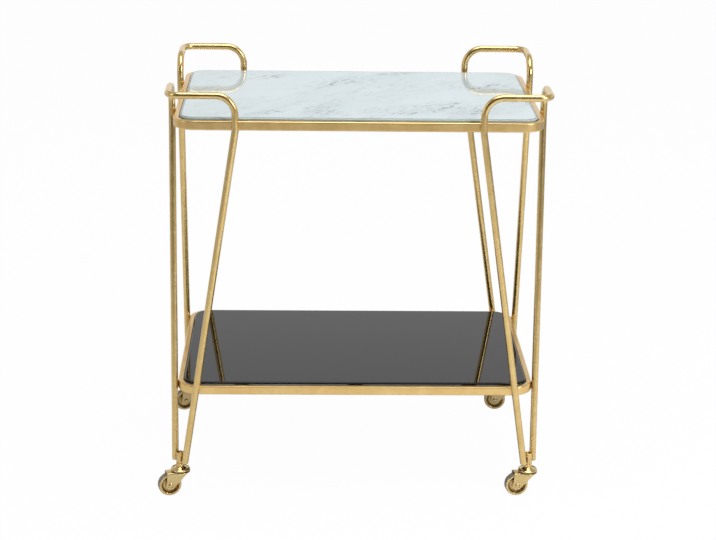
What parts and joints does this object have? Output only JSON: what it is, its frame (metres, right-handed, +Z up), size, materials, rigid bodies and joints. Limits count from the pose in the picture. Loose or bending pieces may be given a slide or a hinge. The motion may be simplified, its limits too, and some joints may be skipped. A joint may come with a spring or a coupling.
{
  "type": "serving trolley",
  "caption": "Serving trolley with a marble-look glass top tray, a black glass shelf, bent tube hoops as legs and corner handles, and swivel casters.",
  "frame": {"origin": "on the floor under the middle of the trays", "axes": "+X to the right and +Y to the back as seen from the front, +Z up; the front faces -Y"},
  "size_m": [0.6925, 0.4307, 0.75],
  "materials": {
    "plated_metal": "satin",
    "marble_glass": "polished",
    "black_glass": "polished",
    "clear_rubber": "satin",
    "steel": "satin",
    "tyre_rubber": "matte"
  },
  "bodies": {
    "trolley": {"top_frame": "plated_metal", "top_tabs": "plated_metal", "top_bumpers": "clear_rubber", "marble_top": "marble_glass", "shelf_frame": "plated_metal", "shelf_tabs": "plated_metal", "shelf_bumpers": "clear_rubber", "black_glass_shelf": "black_glass", "front_left_hoop": "plated_metal", "front_left_socket": "plated_metal", "front_left_stem": "plated_metal", "front_left_grip_ring": "steel", "front_left_race_cap": "plated_metal", "front_right_hoop": "plated_metal", "front_right_socket": "plated_metal", "front_right_stem": "plated_metal", "front_right_grip_ring": "steel", "front_right_race_cap": "plated_metal", "back_left_hoop": "plated_metal", "back_left_socket": "plated_metal", "back_left_stem": "plated_metal", "back_left_grip_ring": "steel", "back_left_race_cap": "plated_metal", "back_right_hoop": "plated_metal", "back_right_socket": "plated_metal", "back_right_stem": "plated_metal", "back_right_grip_ring": "steel", "back_right_race_cap": "plated_metal"},
    "front_left_caster": {"front_left_fork": "plated_metal", "front_left_ball_ring": "steel", "front_left_axle": "plated_metal"},
    "front_left_roller": {"front_left_wheel": "plated_metal", "front_left_tyre": "tyre_rubber"},
    "front_right_caster": {"front_right_fork": "plated_metal", "front_right_ball_ring": "steel", "front_right_axle": "plated_metal"},
    "front_right_roller": {"front_right_wheel": "plated_metal", "front_right_tyre": "tyre_rubber"},
    "back_left_caster": {"back_left_fork": "plated_metal", "back_left_ball_ring": "steel", "back_left_axle": "plated_metal"},
    "back_left_roller": {"back_left_wheel": "plated_metal", "back_left_tyre": "tyre_rubber"},
    "back_right_caster": {"back_right_fork": "plated_metal", "back_right_ball_ring": "steel", "back_right_axle": "plated_metal"},
    "back_right_roller": {"back_right_wheel": "plated_metal", "back_right_tyre": "tyre_rubber"}
  },
  "joints": [
    {"name": "front_left_swivel", "type": "hinge", "parent": "trolley", "child": "front_left_caster", "pos_m": [-0.31684, -0.19684, 0.05], "axis": [0, 0, 1], "continuous": true},
    {"name": "front_left_roll", "type": "hinge", "parent": "front_left_caster", "child": "front_left_roller", "pos_m": [-0.33633, -0.20317, 0.021], "axis": [0.309, -0.9511, 0], "continuous": true},
    {"name": "front_right_swivel", "type": "hinge", "parent": "trolley", "child": "front_right_caster", "pos_m": [0.31684, -0.19684, 0.05], "axis": [0, 0, 1], "continuous": true},
    {"name": "front_right_roll", "type": "hinge", "parent": "front_right_caster", "child": "front_right_roller", "pos_m": [0.29654, -0.19969, 0.021], "axis": [0.1392, -0.9903, 0], "continuous": true},
    {"name": "back_left_swivel", "type": "hinge", "parent": "trolley", "child": "back_left_caster", "pos_m": [-0.31684, 0.19684, 0.05], "axis": [0, 0, 1], "continuous": true},
    {"name": "back_left_roll", "type": "hinge", "parent": "back_left_caster", "child": "back_left_roller", "pos_m": [-0.33584, 0.18916, 0.021], "axis": [0.3746, -0.9272, 0], "continuous": true},
    {"name": "back_right_swivel", "type": "hinge", "parent": "trolley", "child": "back_right_caster", "pos_m": [0.31684, 0.19684, 0.05], "axis": [0, 0, 1], "continuous": true},
    {"name": "back_right_roll", "type": "hinge", "parent": "back_right_caster", "child": "back_right_roller", "pos_m": [0.29636, 0.19791, 0.021], "axis": [-0.0523, -0.9986, 0], "continuous": true}
  ]
}
